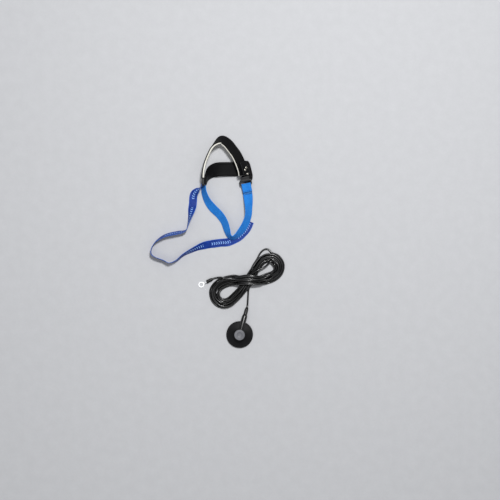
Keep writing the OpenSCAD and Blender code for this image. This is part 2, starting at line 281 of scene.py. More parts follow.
# %% Settle the cord
FALL, MOST = 0.05 * MM, 0.6 * MM
PUSH, PULL, RUB, SMOOTH = 0.35, 0.25, 0.03, 0.3
ROUNDS, LOOK_EVERY = 700, 10
TABLE_ROWS = 400
NEXT_TO = 6  # points this near along the cord are neighbours, not a pair


def close_pairs(points, reach, gap):
    """Pairs of points nearer than reach whose places along the line are over gap apart,
    from the full table of squared distances |p|^2 + |q|^2 - 2 p.q, a strip at a time."""
    square = (points ** 2).sum(1)
    firsts, seconds = [], []
    for start in range(0, len(points), TABLE_ROWS):
        rows = slice(start, start + TABLE_ROWS)
        table = square[rows, None] + square[None] - 2 * points[rows] @ points.T
        i, j = np.nonzero(table < reach ** 2)
        keep = j - (i + start) > gap
        firsts.append(i[keep] + start)
        seconds.append(j[keep])
    return np.concatenate(firsts), np.concatenate(seconds)


def settle(start, held=6):
    """Each round: every point falls a little; pairs nearer than a diameter move apart along
    the line between them; steps along the cord return to their length; rubbing draws each
    point back a little to where it was laid; what has moved is smoothed along the cord; and
    nothing sinks below the bench. The ends stay where they are."""
    points = start.copy()
    spacing = np.linalg.norm(np.diff(start, axis=0), axis=1).mean()
    gap = int(3 * CORD_D / spacing)
    free = np.ones((len(points), 1))
    free[:held] = free[-held:] = 0
    for done in range(ROUNDS):
        if done % LOOK_EVERY == 0:
            first, second = close_pairs(points, 1.6 * CORD_D, gap)
        move = np.zeros_like(points)
        move[:, 2] -= FALL * (1 - done / ROUNDS) ** 2
        between = points[first] - points[second]
        distance = np.linalg.norm(between, axis=1)
        push = np.clip(CORD_D * 1.01 - distance, 0, None) / np.maximum(distance, 1e-9) * PUSH
        for axis in range(3):
            amount = push * between[:, axis]
            move[:, axis] += np.bincount(first, amount, len(points))
            move[:, axis] -= np.bincount(second, amount, len(points))
        step = np.diff(points, axis=0)
        length = np.linalg.norm(step, axis=1, keepdims=True)
        pull = step * (1 - spacing / length) * PULL
        move[:-1] += pull
        move[1:] -= pull
        move[:, :2] += RUB * (start[:, :2] - points[:, :2])
        points += free * np.clip(move, -MOST, MOST)
        moved = points - start
        moved[1:-1] += SMOOTH * (0.5 * (moved[:-2] + moved[2:]) - moved[1:-1])
        points = start + free * moved
        points[:, 2] = np.maximum(points[:, 2], CORD_D / 2)
    return points


cord_line = settle(cord_line)
cord_line = even_line(cord_line, CORD_STEP)
pair_a, pair_b = close_pairs(cord_line, CORD_D, NEXT_TO)
overlap = CORD_D - np.linalg.norm(cord_line[pair_a] - cord_line[pair_b], axis=1)
print("settled:", round(run_length(cord_line)[-1], 3), "m long,",
      round(cord_line[:, 2].max() / MM, 1), "mm high at its middle,", len(overlap),
      "pairs overlap by up to", round(overlap.max() / MM, 2), "mm")

# %% [markdown]
# Each new piece is an object at the origin, with its place in its mesh. It rides on one
# body of the frame, fills one finish slot and stands for the plain working parts that it
# hides. The cord is a curve with a round bevel, which gives it an even skin all along.

# %% A new piece, and the cord
slot_of_piece = {}


def add_piece(name, data, body, slot, replaces=()):
    """Adds the piece, and notes its slot for when the finishes are given out."""
    piece = new_object(name, data)
    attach(piece, body)
    if replaces:
        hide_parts(*replaces)
    slot_of_piece[piece] = slot
    return piece


curve = bpy.data.curves.new("ground_cord", "CURVE")
curve.dimensions = "3D"
# a point's radius scales the depth, and the object's box grows by that radius on each side,
# so the cord's radius is given to the points and the depth is one metre
curve.bevel_depth = 1
curve.bevel_resolution = 4
curve.use_fill_caps = True
spline = curve.splines.new("POLY")
spline.points.add(len(cord_line) - 1)
spline.points.foreach_set("co", np.column_stack([cord_line, np.ones(len(cord_line))]).ravel())
spline.points.foreach_set("radius", np.full(len(cord_line), CORD_D / 2))
spline.use_smooth = True
ground_cord = add_piece("ground_cord", curve, "root", "cord_black",
                        ["cord_lead", "cord_hank", "cord_loop", "cord_tail"])

# %% [markdown]
# ## Skins over rings
#
# Every other new piece is one closed skin. A section, which is a closed outline of a few
# dozen points, is carried along a path and gives one ring of points at each station. The
# rings are joined by a grid of quads, and each end is closed by a fan to the ring's middle.
# A strip, a turned part and a moulded boot differ only in how their rings are worked out.

# %% A mesh from rings
SHARP = math.radians(35)


def skin(name, body, slot, replaces, rings, uv=None, closed=False):
    """rings is an array (stations, around, 3). Quad i, k joins ring i to ring i + 1 between
    points k and k + 1, both taken round the outline. Faces are turned to point outwards, by
    the sign of the volume, which is that of the sum of p0 . (p1 x p2) over the triangles."""
    stations, around = rings.shape[:2]
    points = rings.reshape(-1, 3)
    index = np.arange(stations * around).reshape(stations, around)
    onward = np.roll(index, -1, axis=0) if closed else index[1:]
    here = index if closed else index[:-1]
    quads = np.stack([here, np.roll(here, -1, 1), np.roll(onward, -1, 1), onward], -1)
    quads = quads.reshape(-1, 4)
    faces = quads.tolist()
    if not closed:
        points = np.vstack([points, rings[0].mean(0), rings[-1].mean(0)])
        first, last = index[0], index[-1]
        for a, b, middle_point in ((np.roll(first, -1), first, len(points) - 2),
                                   (last, np.roll(last, -1), len(points) - 1)):
            faces += np.stack([a, b, np.full(around, middle_point)], -1).tolist()
    corner = points[quads]
    volume = np.einsum("ij,ij->", corner[:, 0], np.cross(corner[:, 1], corner[:, 2]))
    volume += np.einsum("ij,ij->", corner[:, 0], np.cross(corner[:, 2], corner[:, 3]))
    if volume < 0:
        faces = [face[::-1] for face in faces]
    mesh = bpy.data.meshes.new(name)
    mesh.from_pydata(points.tolist(), [], faces)
    if uv is not None:
        flat = uv.reshape(-1, 2)
        if not closed:
            flat = np.vstack([flat, uv[0].mean(0), uv[-1].mean(0)])
        corners = np.empty(len(mesh.loops), np.int32)
        mesh.loops.foreach_get("vertex_index", corners)
        mesh.uv_layers.new(name="run").data.foreach_set("uv", flat[corners].ravel())
    mesh.shade_smooth()
    mesh.set_sharp_from_angle(angle=SHARP)
    print(name, "has", len(faces), "faces")
    return add_piece(name, mesh, body, slot, replaces)


# %% [markdown]
# ## Strips
#
# The rubber bands, the elastic and the ribbon all come off a roll: a flat section with
# rounded edges, which bends and rolls along its route. At each station a strip has three
# directions, along, across and out of its face, and its section lives in the last two.
# Each point also remembers how far along and how far across the strip it is, and the
# weaves and prints are drawn in those two lengths.

# %% The frame of a strip
def strip_frame(stations, width, steps=12):
    """A station is [x, y, lift, roll]. left = the heading turned a quarter; across =
    cos(roll) left + sin(roll) up; out = cos(roll) up - sin(roll) left; and the middle is
    raised by lift + half the width x sin(roll)."""
    line = smooth_line(np.asarray(stations, float) * [MM, MM, MM, 1], steps)
    heading = unit(np.gradient(line[:, :2], axis=0))
    roll = np.radians(np.clip(line[:, 3:], 0, 90))
    left = np.column_stack([-heading[:, 1], heading[:, 0], np.zeros(len(line))])
    across = np.cos(roll) * left + np.sin(roll) * [0, 0, 1]
    out = np.cos(roll) * [0, 0, 1] - np.sin(roll) * left
    centre = line[:, :3].copy()
    centre[:, 2] = np.maximum(centre[:, 2], 0) + width / 2 * np.sin(roll[:, 0])
    return {"centre": centre, "across": across, "out": out, "along": run_length(centre)}


def rounded_section(u0, u1, v0, v1, radius, per_corner=5, per_side=14):
    """A rectangle with round corners, as points [u, v] in order: each corner is an arc, and
    each long side has points between its corners, so that the skin can be shaped there."""
    radius = min(radius, (v1 - v0) / 2 * 0.98, (u1 - u0) / 2 * 0.98)
    angle = np.linspace(0, np.pi / 2, per_corner)
    arc = radius * np.column_stack([np.cos(angle), np.sin(angle)])
    turned = [arc, arc[:, ::-1] * [-1, 1], -arc, arc[:, ::-1] * [1, -1]]
    middles = [[u1 - radius, v1 - radius], [u0 + radius, v1 - radius],
               [u0 + radius, v0 + radius], [u1 - radius, v0 + radius]]
    corners = [m + t for m, t in zip(np.array(middles), turned)]
    between = np.linspace(0, 1, per_side + 2)[1:-1, None]
    top = corners[0][-1] * (1 - between) + corners[1][0] * between
    base = corners[2][-1] * (1 - between) + corners[3][0] * between
    return np.vstack([corners[0], top, corners[1], corners[2], base, corners[3]])


def strip_rings(line, section, start=0.0, end=None, round_end=0.0):
    """Each ring is centre + u across + v out, over the section's points [u, v]. With
    rounded ends, a ring at the angle a of the end's quarter circle stands r (1 - sin a)
    from the end, and its section is drawn in all round by r (1 - cos a)."""
    end = line["along"][-1] if end is None else end
    inner = line["along"][(line["along"] > start + round_end) & (line["along"] < end - round_end)]
    angle = np.linspace(np.pi / 2, 0, 6) if round_end else np.zeros(1)
    edge = round_end * (1 - np.sin(angle))
    along = np.concatenate([start + edge, inner, end - edge[::-1]])
    inset = np.concatenate([round_end * (1 - np.cos(angle)), 0 * inner,
                            round_end * (1 - np.cos(angle[::-1]))])
    centre, across, out = (read_along(along, line["along"], line[key])[:, None]
                           for key in ("centre", "across", "out"))
    mean = section.mean(0)
    half = (section.max(0) - section.min(0)) / 2
    drawn = mean + (section - mean) * (1 - np.minimum(inset[:, None, None] / half, 0.98))
    rings = centre + drawn[..., :1] * across + drawn[..., 1:] * out
    return rings, np.stack(np.broadcast_arrays(along[:, None], drawn[..., 0]), -1)


# %% [markdown]
# ## The heel cup
#
# The heel cup is two moulded rubber bands. The heel band stands on its edge round the back
# of the heel and has a pale lining bonded inside it, which shows as a bright line. The sole
# band runs under the shoe and is what touches the floor, so it is the thicker one. Moulded
# rubber has rounded edges all round, so the section has a real radius.

# %% Routes of the rubber
HEEL_ROUTE = [[63.5, 99, 3, 40], [62, 106, 3, 44], [57.5, 118, 2.8, 47], [52, 129.5, 0.8, 47],
              [45.5, 138.5, 0, 47], [38.5, 147, 0, 47], [30, 152, 0, 51], [22.5, 148.5, 0, 72],
              [15, 140, 0, 88], [9, 128, 0, 90], [4.5, 116, 0, 90], [2, 104, 0, 90],
              [1.5, 95, 0, 90]]
SOLE_ROUTE = [[4.4, 86, 0, 90], [6, 93, 0, 82], [9.5, 99.5, 0.5, 62], [15, 105, 1.5, 34],
              [23, 108, 2.5, 12], [33, 108.5, 2.5, 3], [46, 108.5, 1.5, 0], [60, 108.5, 0, 0]]
HEEL_W, RUBBER_T, LINING_T = 20 * MM, 1.2 * MM, 2.0 * MM
SOLE_W, SOLE_T = 21 * MM, 2.5 * MM

heel_line = strip_frame(HEEL_ROUTE, HEEL_W)
sole_line = strip_frame(SOLE_ROUTE, SOLE_W)
print("heel band", round(heel_line["along"][-1] / MM), "mm long, sole band",
      round(sole_line["along"][-1] / MM), "mm")

# %% Heel band, lining and sole band
def ridged(section, width, rise, inset, spread):
    """The section with two moulded ribs along the outer face: v grows by
    rise x exp(-((|u| - (half width - inset)) / spread)^2) where v is on the outer side."""
    edge = width / 2 - inset
    rib = rise * np.exp(-((np.abs(section[:, 0]) - edge) / spread) ** 2)
    outer = section[:, 1] > section[:, 1].mean()
    return section + np.column_stack([np.zeros(len(section)), np.where(outer, rib, 0)])


heel_section = rounded_section(-HEEL_W / 2, HEEL_W / 2, 0, RUBBER_T, 0.5 * MM, per_side=40)
heel_section = ridged(heel_section, HEEL_W, 0.35 * MM, 2.2 * MM, 0.5 * MM)
sole_section = rounded_section(-SOLE_W / 2, SOLE_W / 2, 0, SOLE_T, 0.8 * MM, per_side=40)
sole_section = ridged(sole_section, SOLE_W, 0.3 * MM, 2.5 * MM, 0.6 * MM)
# the lining is narrower than the band, and stops short of its outer edge
lining_section = rounded_section(-HEEL_W / 2 + 2.5 * MM, HEEL_W / 2, -LINING_T, -0.1 * MM,
                                 0.6 * MM)
skin("heel_band_rubber", "root", "rubber_black", ["heel_band"],
     *strip_rings(heel_line, heel_section))
skin("heel_lining_felt", "root", "lining_pale", ["heel_lining"],
     *strip_rings(heel_line, lining_section))
skin("sole_band_rubber", "root", "rubber_black", ["sole_band"],
     *strip_rings(sole_line, sole_section))

# %% [markdown]
# ## The instep strap
#
# The elastic is one length of knitted tape. It comes off the left tab, turns sharply at the
# front of the foot, climbs back to the ring at the right and goes round the ring's bar. Its
# free end folds back over it and is held by hook and loop tape, so the strap can be let
# out. The free end is a piece of its own, because it peels up.
#
# The tape is a little cupped and its edges are bound, which makes them thicker than the
# middle. That is in the section, and the knit itself is in the material.

# %% The elastic and its fold
STRAP_ROUTE = [[3.2, 83.3, 1, 62], [4, 73.5, 0.5, 56], [8.5, 61.5, 0, 45], [16, 51, 0, 32],
               [27, 40, 0, 36], [34, 29.5, 0, 42], [38, 18, 1, 48], [41, 9.5, 1.2, 62],
               [45.5, 6, 1.2, 68], [51, 8.5, 1.2, 62], [58, 16, 1.2, 50], [64.5, 26, 1.2, 45],
               [69, 38.5, 1, 48], [69.6, 50, 0.5, 42], [69.3, 62, 0.5, 22], [68.2, 74, 2.4, 0],
               [66, 84.5, 3, 0]]
STRAP_W, STRAP_T, TAIL_LEN = 14 * MM, 1.2 * MM, 11 * MM
BAR_AT, BAR_TURN = np.array([66.2, 85, 5.3]) * MM, math.radians(12)
WIRE_R, BAR_CLEAR = 1.0 * MM, 0.1 * MM
FOLD_R = WIRE_R + BAR_CLEAR + STRAP_T


def bound_section(width, thick):
    """A tape's section: thinner by a fifth between its bound edges, which are 1.3 mm wide.
    Each face is lowered by 0.1 thickness / (1 + exp(distance into the binding / 0.15 mm))."""
    section = rounded_section(-width / 2, width / 2, 0, thick, 0.45 * MM, per_side=40)
    past = (np.abs(section[:, 0]) - (width / 2 - 1.3 * MM)) / (0.15 * MM)
    thin = 0.1 * thick / (1 + np.exp(np.clip(past, -30, 30)))
    outer = section[:, 1] > thick / 2
    return section + np.column_stack([np.zeros(len(section)), np.where(outer, -thin, thin)])


def at_bar(points):
    """From the bar's own frame, x along it and y away from the strap, to the shared frame:
    turned about the vertical by the bar's turn and moved to the bar."""
    cos, sin = math.cos(BAR_TURN), math.sin(BAR_TURN)
    return points @ np.array([[cos, sin, 0], [-sin, cos, 0], [0, 0, 1]]) + BAR_AT


strap_line = strip_frame(STRAP_ROUTE, STRAP_W)
strap_section = bound_section(STRAP_W, STRAP_T)
instep_strap = skin("instep_strap_elastic", "root", "elastic_blue",
                    ["instep_strap_left", "instep_strap_right"],
                    *strip_rings(strap_line, strap_section))

# %% Tape bent in one plane
def tape_rings(path, section):
    """A tape whose width is the bar's x: the path is [y, z] of its middle, ahead is the
    path's slope, and a point [u, v] of the section is at x = u and path + v x normal."""
    ahead = unit(np.gradient(path, axis=0))
    normal = np.column_stack([-ahead[:, 1], ahead[:, 0]])
    lift = section[:, 1] - (section[:, 1].max() + section[:, 1].min()) / 2
    yz = path[:, None] + lift[None, :, None] * normal[:, None]
    x = np.broadcast_to(section[:, 0], yz.shape[:2])
    uv = np.stack(np.broadcast_arrays(run_length(path)[:, None], x), -1)
    return at_bar(np.concatenate([x[..., None], yz], -1)), uv


def arc(radius, low, high, count, middle=(0, 0)):
    """Points at radius r and angle a, in degrees: middle + r (cos a, sin a)."""
    angle = np.radians(np.linspace(low, high, count))
    return radius * np.column_stack([np.cos(angle), np.sin(angle)]) + middle


# %% The fold round the bar, and the free end
skin("strap_fold_elastic", "root", "elastic_blue", ["strap_fold"],
     *tape_rings(arc(FOLD_R - STRAP_T / 2, -92, 150, 49), strap_section))


def tail_rings(section, count=24):
    """The free end lies flat at z = fold radius - thickness + v. It starts hollowed round the
    fold, at y = -sqrt(R^2 - z^2), so that it can turn on it."""
    z = FOLD_R - STRAP_T + section[:, 1]
    start = -np.sqrt(np.maximum((FOLD_R + BAR_CLEAR) ** 2 - z ** 2, 0))
    part = np.linspace(0, 1, count)[:, None]
    y = start * (1 - part) - TAIL_LEN * part
    x = np.broadcast_to(section[:, 0], y.shape)
    rings = np.stack([x, y, np.broadcast_to(z, y.shape)], -1)
    return at_bar(rings), np.stack([-y, x], -1)


skin("strap_tail_elastic", "tail", "elastic_blue", ["strap_tail"], *tail_rings(strap_section))

# %% [markdown]
# ## The ring
#
# The ring is a loop of 2 mm wire, drawn round a rectangular form with bent corners. It is a
# round section carried along a closed path, so it has no ends at all.

# %% The wire ring and the loop that holds it
RING_HALF_W = STRAP_W / 2 + WIRE_R + 0.4 * MM
RING_DEPTH = 6.5 * MM


def circle(count):
    """Angles all round, evenly spaced."""
    return np.linspace(0, 2 * np.pi, count, endpoint=False)


def wire_rings(path, radius, around=16):
    """A round wire along a closed path: path + r (cos a x side + sin a x up), where the side
    is across the path in its own plane."""
    ahead = unit(np.roll(path, -1, 0) - np.roll(path, 1, 0))
    side = np.column_stack([-ahead[:, 1], ahead[:, 0], np.zeros(len(path))])
    a = circle(around)[None, :, None]
    return path[:, None] + radius * (np.cos(a) * side[:, None]
                                     + np.sin(a) * np.array([0, 0, 1.0]))


def round_rectangle(x0, x1, y0, y1, radius, per_corner=8):
    """The outline of a rectangle in the plan with round corners, anticlockwise."""
    corners = [(x1 - radius, y1 - radius, 0), (x0 + radius, y1 - radius, 90),
               (x0 + radius, y0 + radius, 180), (x1 - radius, y0 + radius, 270)]
    return np.vstack([arc(radius, low, low + 90, per_corner, (x, y)) for x, y, low in corners])


path = round_rectangle(-RING_HALF_W, RING_HALF_W, 0, RING_DEPTH, 1.4 * MM)
path = np.column_stack([path, np.zeros(len(path))])
skin("strap_ring_wire", "root", "ring_black", ["strap_ring"], at_bar(wire_rings(path, WIRE_R)),
     closed=True)

LOOP_W, LOOP_T = 13 * MM, 1.2 * MM
loop_r = WIRE_R + BAR_CLEAR + LOOP_T / 2
under = np.column_stack([np.linspace(6, 0.4, 8) * MM, np.full(8, -loop_r)])
over = np.array([[0.6, 1.66], [1.8, 1.3], [3, 0.5], [4.2, -0.2], [5.4, -0.5]]) * MM
path = np.vstack([under, arc(loop_r, 270, 90, 21), smooth_line(over, 4)]) + [RING_DEPTH, 0]
skin("anchor_loop_webbing", "root", "webbing_black", ["anchor_loop"],
     *tape_rings(path, bound_section(LOOP_W, LOOP_T)))

# %% [markdown]
# ## The ribbon
#
# The ribbon carries the charge: a woven tape with conductive threads, with a printed
# pattern along its middle. It is limp and springy at once, so it stands on its edge where
# it turns and lies down where it runs straight. A slight waviness of its edges, growing
# from the middle outwards, tells the eye that it is cloth and not plastic.

# %% The conductive ribbon
RIBBON_ROUTE = [[0, 86, 1, 90], [-2, 80, 0.5, 80], [-8, 75.5, 0, 40], [-12.5, 69, 0, 10],
                [-14, 54, 0, 8], [-17, 38.5, 0, 55], [-20, 26.5, 0, 78], [-22.5, 18, 0, 84],
                [-28, 14.5, 0, 74], [-36, 13, 0, 66], [-55, 8.5, 0, 70], [-69.5, -1, 0, 84],
                [-75.2, -12, 0, 90], [-73.5, -20.5, 0, 90], [-57, -28, 0, 84],
                [-48.5, -31.5, 0, 88], [-38, -28, 0, 80], [-27.5, -19.5, 0, 74],
                [-9, -10, 0, 52], [6, -5, 0, 20], [26, -2, 0, 4], [40, -0.5, 0, 2],
                [54, 6, 0, 2], [64, 15, 0, 2], [69, 22.5, 0, 2], [72, 30, 0, 2]]
RIBBON_W, RIBBON_T = 12 * MM, 0.6 * MM

ribbon_line = strip_frame(RIBBON_ROUTE, RIBBON_W)
rings, uv = strip_rings(ribbon_line, rounded_section(
    -RIBBON_W / 2, RIBBON_W / 2, 0.1 * MM, 0.1 * MM + RIBBON_T, 0.25 * MM, per_side=24))
# the waves are height x sin(2 pi x along / length) x (how near to the edge) ^ power
for height, length, power in ((0.35 * MM, 19 * MM, 2), (0.2 * MM, 7.3 * MM, 4)):
    rings[..., 2] += (height * np.sin(2 * np.pi * uv[..., 0] / length)
                      * (uv[..., 1] / RIBBON_W * 2) ** power)
rings[..., 2] = np.maximum(rings[..., 2], 0.05 * MM)
ribbon = skin("conductive_ribbon", "root", "ribbon_navy", ["ribbon"], rings, uv)

# %% [markdown]
# ## Moulded tabs, patch and rivets
#
# The two ends of the heel cup are joined by moulded tabs. The right one is a flat plate
# under the patch, and the left one a block with the ribbon's resistor moulded in. A
# moulding is drawn as a stack of outlines: each level has a height and is drawn in from
# the edge by so much, which makes round edges and a raised rim with one rule.

# %% Stacked outlines
def stacked(outline, levels):
    """A level [inset, height]: the outline is scaled about its middle so that its mean
    radius shrinks by the inset, and set at that height."""
    middle = outline.mean(0)
    radius = np.linalg.norm(outline - middle, axis=1).mean()
    inset, height = np.asarray(levels, float).T
    flat = middle + (outline - middle)[None] * (1 - inset / radius)[:, None, None]
    return np.concatenate([flat, np.broadcast_to(height[:, None, None], (*flat.shape[:2], 1))], -1)


def soft_edges(top, edge, rim=0.0, rim_in=0.0):
    """Levels of a plate with a quarter-round at each edge, and a rim that stands proud of
    the middle of its top face."""
    a = np.radians(np.linspace(0, 90, 6))
    low = np.column_stack([edge * (1 - np.sin(a)), edge * (1 - np.cos(a))])
    high = np.column_stack([edge * (1 - np.cos(a)), top - edge * (1 - np.sin(a))])
    levels = [low, high]
    if rim:
        levels.append([[rim_in, top], [rim_in + 0.3 * rim, top - 0.5 * rim],
                       [rim_in + rim, top - rim]])
    return np.vstack(levels)


TAB_OUTLINE = np.array([[60, 98], [60, 110], [60.3, 119], [62, 121], [68, 121], [70.5, 119],
                        [72.5, 114.5], [75.6, 102], [76, 98], [75.6, 94], [73, 89.5], [70, 88.5],
                        [63, 88.5], [60.6, 90]]) * MM
outline = smooth_line(TAB_OUTLINE, 6, closed=True)
skin("side_tab_right_moulding", "root", "rubber_black", ["side_tab_right"],
     stacked(outline, soft_edges(SOLE_T, 0.7 * MM, rim=0.35 * MM, rim_in=1.6 * MM)))

# the left tab stands on its edge, so its stack of outlines is turned towards -X
outline = round_rectangle(83.5 * MM, 94.8 * MM, 2 * MM, 17 * MM, 2 * MM)
rings = stacked(outline, soft_edges(4 * MM, 0.9 * MM, rim=0.3 * MM, rim_in=1.5 * MM))
skin("side_tab_left_moulding", "root", "tab_black", ["side_tab_left"],
     np.stack([4.3 * MM - rings[..., 2], rings[..., 0], rings[..., 1]], -1))

# %% The anchor patch
patch_end = heel_line["along"][24]
PATCH_TOP = RUBBER_T + 1.8 * MM
patch_section = rounded_section(-10 * MM, 5 * MM, RUBBER_T + 0.1 * MM, PATCH_TOP, 0.6 * MM)
skin("anchor_patch_rubber", "root", "rubber_black", ["anchor_patch"],
     *strip_rings(heel_line, patch_section, end=patch_end, round_end=0.8 * MM))

# %% [markdown]
# The rivets are nickel-plated steel, set through the patch. A rivet's head is a low dome
# with a rolled edge, turned about its own axis. The axis is the way the patch faces there.

# %% Rivets
def turned(profile, foot, axis, around=32):
    """A profile [radius, height] turned about an axis: foot + h x axis + r (cos a x side +
    sin a x other side)."""
    axis = unit(np.asarray(axis, float))
    side = unit(np.cross(axis, [0, 0, 1.0] if abs(axis[2]) < 0.9 else [1.0, 0, 0]))
    other = np.cross(axis, side)
    a = circle(around)[None, :, None]
    radius, height = np.asarray(profile, float).T
    return (np.asarray(foot, float) + height[:, None, None] * axis
            + radius[:, None, None] * (np.cos(a) * side + np.sin(a) * other))


def rivet_head(radius, rise):
    """A flat rolled edge, then a dome: height = rise x sqrt(1 - (r / R)^2) above it."""
    r = radius * np.array([0.97, 0.8, 0.6, 0.4, 0.2, 0.05])
    dome = np.column_stack([r * 0.86, 0.35 * MM + rise * np.sqrt(1 - (r / radius) ** 2)])
    edge = [[radius * 0.9, -0.3 * MM], [radius, -0.1 * MM], [radius, 0.15 * MM],
            [radius * 0.95, 0.3 * MM]]
    return np.vstack([edge, dome])


# each rivet of the patch: its point on the heel band's line, and its place across
RIVET_PLACES = [[3, -4.5], [12, -1], [15, -5]]
for number, (station, u) in enumerate(RIVET_PLACES, 1):
    facing = heel_line["out"][station]
    foot = (heel_line["centre"][station] + u * MM * heel_line["across"][station]
            + PATCH_TOP * facing)
    skin(f"anchor_rivet_{number}", "root", "rivet_nickel", ["anchor_rivets"],
         turned(rivet_head(1.8 * MM, 0.6 * MM), foot, facing))
skin("tab_rivet_head", "root", "rivet_nickel", ["tab_rivet"],
     turned(rivet_head(2 * MM, 0.5 * MM), np.array([0.3, 91.5, 12]) * MM, (-1, 0, 0)))

# %% [markdown]
# ## The snap disc, the plug and its boot
#
# These were turned on a lathe before they were moulds, so each is a profile spun about an
# axis. The profile is a list of radius and height, and the round edges are arcs in it. The
# disc has a soft pad below and a hard cover above, with a seat in its middle for the stud.
# The plug sits on the stud, and its boot leaves to one side, slightly downwards, with rings
# near its end that let it bend with the cord.

# %% The disc
DISC_AT = np.array([56.5, -139.2, 0]) * MM
UP = (0, 0, 1)

cover = np.vstack([
    [[7, 4.4], [7, 1.6], [18.9, 1.6], [19.6, 1.75]],
    arc(1, -20, 84, 9, (19, 2.2)),
    [[18.2, 3.36], [17.6, 3.3], [17.2, 3.42], [13, 4.3], [9.1, 5.6], [8.5, 5.92], [8.1, 6.0],
     [4.2, 6.0], [3.9, 5.85], [3.2, 5.85], [0.05, 5.85]]]) * MM
skin("disc_cover_moulding", "disc", "disc_black", ["disc_cover"],
     turned(cover, DISC_AT, UP, 96))
pad = np.vstack([[[7.2, 0], [18.8, 0]], arc(0.6, -60, 0, 4, (18.9, 0.6)),
                 [[19.5, 1.2], [19.3, 1.6], [7.2, 1.6]]]) * MM
skin("disc_pad_rubber", "disc", "disc_rubber", ["disc_pad"], turned(pad, DISC_AT, UP, 96),
     closed=True)

# %% The plug and its cap
housing = np.vstack([[[4.3, 10.5], [4.3, 6.7], [4.7, 6.3], [7.3, 6.3]],
                     arc(0.5, -60, 0, 4, (7.3, 6.8)), [[7.8, 7.4], [7.8, 12.2]],
                     arc(0.7, 0, 80, 5, (7.1, 12.4)), [[6.6, 13.2]]]) * MM
# its upright side has grip ribs: the radius shrinks by depth x (1 - cos(ribs x angle)) / 2
GRIP_RIBS, RIB_DEPTH, HOUSING_R, AROUND = 36, 0.22 * MM, 7.8 * MM, 144
rings = turned(housing, DISC_AT, UP, AROUND)
ribbed = ((housing[:, 1] > 7.2 * MM) & (housing[:, 1] < 12.3 * MM))[:, None, None]
groove = (0.5 - 0.5 * np.cos(GRIP_RIBS * circle(AROUND)))[None, :, None]
shrink = np.where(ribbed, 1 - RIB_DEPTH / HOUSING_R * groove, 1)
rings[..., :2] = (rings[..., :2] - DISC_AT[:2]) * shrink + DISC_AT[:2]
skin("plug_housing_moulding", "root", "plug_black", ["plug_housing"], rings)
cap = np.vstack([[[7.4, 13.2], [7.8, 13.4], [7.8, 13.9]], arc(0.6, 10, 90, 6, (7.2, 14)),
                 [[4.5, 14.6]], arc(0.7, 100, 160, 5, (4.45, 13.9)),
                 [[3.4, 13.92], [1.6, 13.86], [0.05, 13.84]]]) * MM
skin("plug_cap_moulding", "root", "cap_grey", ["plug_cap"], turned(cap, DISC_AT, UP, 96))

# %% The boot
BOOT_TURN, BOOT_DROP = math.radians(74.6), math.radians(12.2)
BOOT_FROM = 7 * MM
boot_axis = np.array([math.cos(BOOT_TURN) * math.cos(BOOT_DROP),
                      math.sin(BOOT_TURN) * math.cos(BOOT_DROP), -math.sin(BOOT_DROP)])
barrel = smooth_line([[3.6, 0], [4.0, 8], [4.1, 13], [4.0, 19], [3.75, 22.6], [3.1, 24.4]], 6)
collars = np.vstack([[[2.75, s], [2.75, s + 0.9], [3.05 - 0.1 * k, s + 1.2],
                      [3.05 - 0.1 * k, s + 2.0], [2.75, s + 2.3]]
                     for k, s in enumerate([25.0, 27.6, 30.2])])
nose = [[2.5, 33.4], [2.3, 34.6], [2.05, 35.7], [1.8, 36], [1.3, 36.05], [0.05, 36.05]]
boot_profile = np.vstack([barrel, collars, nose]) * MM
boot_foot = DISC_AT + np.array([0, 0, 11.9]) * MM + BOOT_FROM * boot_axis
skin("strain_relief_boot", "root", "relief_black", ["strain_relief"],
     turned(boot_profile, boot_foot, boot_axis, 48))

# %% [markdown]
# ## The ring terminal
#
# The terminal is a stamping: a flat ring of tinned copper whose tongue is rolled into a
# barrel. The barrel is a section that changes from a flat bar to a circle as it goes along,
# with a dent where the crimping tool bit. A shrunk sleeve covers it and the cord's end.

# %% The terminal and its sleeve
EYE_AT, EYE_TURN = np.array([-1, -64.5, 0]) * MM, math.radians(27)
BARREL_Z = 2.6 * MM
eye_x = np.array([math.cos(EYE_TURN), math.sin(EYE_TURN), 0])
eye_y = np.array([-eye_x[1], eye_x[0], 0])

plate = np.array([[2.65, 0.15], [2.8, 0], [4.3, 0], [4.5, 0.2], [4.5, 0.7], [4.3, 0.9],
                  [2.85, 0.9], [2.65, 0.75]]) * MM
terminal_ring = skin("ring_terminal_eye", "root", "terminal_tin", ["ring_terminal"],
                     turned(plate, EYE_AT, UP, 64), closed=True)

# each row: distance along, half width, half height, height of the middle
TONGUE = np.array([[3.7, 2.0, 0.4, 0.45], [4.9, 2.0, 0.42, 0.46], [5.6, 1.85, 0.5, 0.7],
                   [6.2, 1.6, 0.9, 1.6], [6.7, 1.45, 1.3, 2.45], [7.2, 1.4, 1.4, 2.6],
                   [7.8, 1.45, 1.2, 2.45], [8.4, 1.4, 1.4, 2.6], [11.9, 1.4, 1.4, 2.6]]) * MM
# the section is (sign(cos a) |cos a|^p, sign(sin a) |sin a|^p): a circle where p is 1, and
# the smaller p is, the squarer it gets
loft = smooth_line(TONGUE, 4)
power = np.interp(loft[:, 0], [5 * MM, 7 * MM], [0.35, 1])[:, None]
wide, tall = (np.sign(part) * np.abs(part) ** power
              for part in (np.cos(circle(32)), np.sin(circle(32))))
rings = (EYE_AT + loft[:, :1, None] * eye_x + (loft[:, 1:2] * wide)[..., None] * eye_y
         + (loft[:, 3:] + loft[:, 2:3] * tall)[..., None] * np.array(UP))
terminal_barrel = skin("ring_terminal_barrel", "root", "terminal_tin", ["ring_terminal"], rings)

